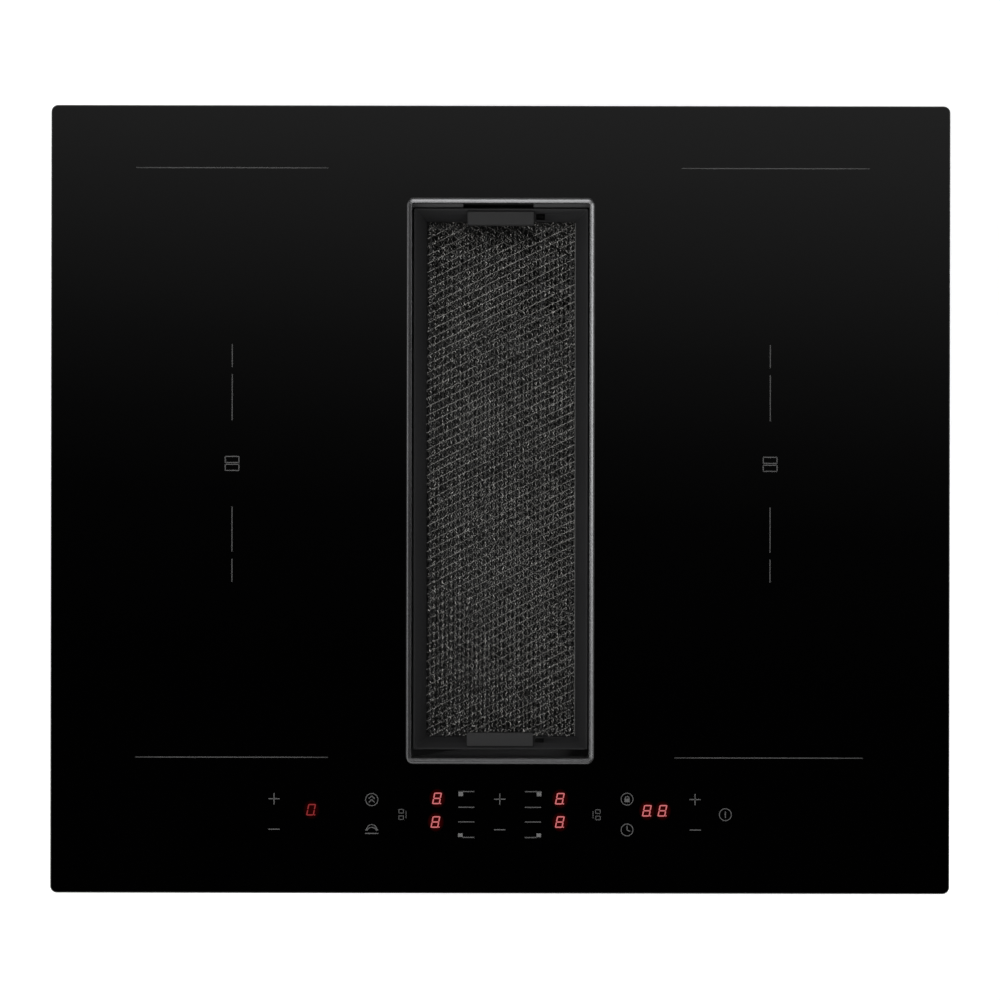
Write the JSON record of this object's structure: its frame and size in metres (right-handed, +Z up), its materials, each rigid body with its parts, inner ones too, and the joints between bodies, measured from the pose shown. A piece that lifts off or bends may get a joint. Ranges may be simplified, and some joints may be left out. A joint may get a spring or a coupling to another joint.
{
  "type": "venting induction cooktop",
  "caption": "Built-in black glass induction cooktop with a raised slot in its middle, a lift-out grease filter and a downdraft fan, outlet and overflow tray below.",
  "frame": {"origin": "centre of the glass outline, on the worktop plane, which is the underside of the rim seal", "axes": "+X to the right of the cook, +Y to the back, +Z up"},
  "size_m": [0.59, 0.517, 0.2135],
  "materials": {
    "black_glass": "polished glass-ceramic, black all through",
    "seal_foam": "closed-cell foam strip",
    "adhesive": "silicone bead",
    "trim_metal": "dark anodised, satin with a fine grain",
    "filter_frame_black": "satin moulded plastic",
    "filter_tab": "fine-textured moulded plastic",
    "mesh_metal": "layers of expanded metal, dark anodised",
    "grid_metal": "stamped sheet",
    "casing_steel": "galvanised sheet",
    "tray_aluminium": "folded mill-finish sheet",
    "coil_copper": "enamelled stranded wire",
    "former_plastic": "glass-filled moulding",
    "ferrite": "sintered, matt",
    "sensor_white": "glazed cap",
    "mica": "pressed mica sheet",
    "board_green": "solder-masked laminate",
    "board_parts": "moulded component bodies",
    "sink_aluminium": "extruded",
    "fan_black": "moulded",
    "carrier_plastic": "moulded",
    "touch_foam": "conductive foam",
    "display_red": "tinted display module",
    "extractor_grey": "textured injection moulding",
    "wheel_grey": "moulded",
    "motor_steel": "drawn and zinc plated",
    "bearing_steel": "ground",
    "overflow_plastic": "moulded, semi-matt",
    "box_plastic": "moulded",
    "terminal_cream": "moulded",
    "clamp_steel": "zinc-plated strip",
    "screw_steel": "zinc-plated"
  },
  "bodies": {
    "cooktop": {"glass_top": "black_glass", "worktop_seal": "seal_foam", "glass_adhesive": "adhesive", "intake_trim": "trim_metal", "trim_seal": "seal_foam", "hob_casing": "casing_steel", "fixing_clamps": "clamp_steel", "coil_sensors": "sensor_white", "control_board": "board_green", "control_carrier": "carrier_plastic", "touch_pads": "touch_foam", "digit_displays": "display_red", "intake_duct": "extractor_grey", "plenum_cover": "extractor_grey", "scroll_plate": "extractor_grey", "drain_collar": "extractor_grey", "fan_scroll": "extractor_grey", "outlet_spigot": "extractor_grey", "motor_stator": "motor_steel", "motor_bearings": "bearing_steel", "fan_control_box": "box_plastic", "fan_control_lid": "box_plastic", "terminal_box": "box_plastic", "terminal_lid": "box_plastic", "terminal_block": "terminal_cream", "cable_gland": "box_plastic", "screws": "screw_steel", "mica_sheet_left": "mica", "coil_tray_left": "tray_aluminium", "power_board_left": "board_green", "heat_sink_left": "sink_aluminium", "power_components_left": "board_parts", "cooling_fan_frame_left": "fan_black", "ferrite_bars_left": "ferrite", "coil_formers_left": "former_plastic", "coil_front_left": "coil_copper", "coil_rear_left": "coil_copper", "mica_sheet_right": "mica", "coil_tray_right": "tray_aluminium", "power_board_right": "board_green", "heat_sink_right": "sink_aluminium", "power_components_right": "board_parts", "cooling_fan_frame_right": "fan_black", "ferrite_bars_right": "ferrite", "coil_formers_right": "former_plastic", "coil_front_right": "coil_copper", "coil_rear_right": "coil_copper"},
    "filter_cassette": {"filter_frame": "filter_frame_black", "filter_mesh": "mesh_metal", "filter_grid": "grid_metal", "filter_handle_front": "filter_tab", "filter_handle_rear": "filter_tab"},
    "fan_wheel": {"impeller": "wheel_grey", "impeller_ring": "wheel_grey", "motor_rotor": "motor_steel", "motor_shaft": "bearing_steel"},
    "left_cooling_rotor": {"cooling_fan_rotor_left": "fan_black"},
    "right_cooling_rotor": {"cooling_fan_rotor_right": "fan_black"},
    "overflow_pan": {"overflow_tray": "overflow_plastic", "overflow_base": "overflow_plastic"}
  },
  "joints": [
    {"name": "filter_lift", "type": "slide", "parent": "cooktop", "child": "filter_cassette", "axis": [0, 0, 1], "range_m": [0, 0.12]},
    {"name": "fan_wheel_spin", "type": "hinge", "parent": "cooktop", "child": "fan_wheel", "pos_m": [-0.1395, 0, -0.152], "axis": [0, 0, 1], "continuous": true},
    {"name": "left_cooling_spin", "type": "hinge", "parent": "cooktop", "child": "left_cooling_rotor", "pos_m": [-0.17355, -0.1295, -0.0532], "axis": [0, 0, 1], "continuous": true},
    {"name": "right_cooling_spin", "type": "hinge", "parent": "cooktop", "child": "right_cooling_rotor", "pos_m": [0.17355, -0.1295, -0.0532], "axis": [0, 0, 1], "continuous": true},
    {"name": "overflow_drop", "type": "slide", "parent": "cooktop", "child": "overflow_pan", "axis": [0, 0, -1], "range_m": [0, 0.06]}
  ]
}
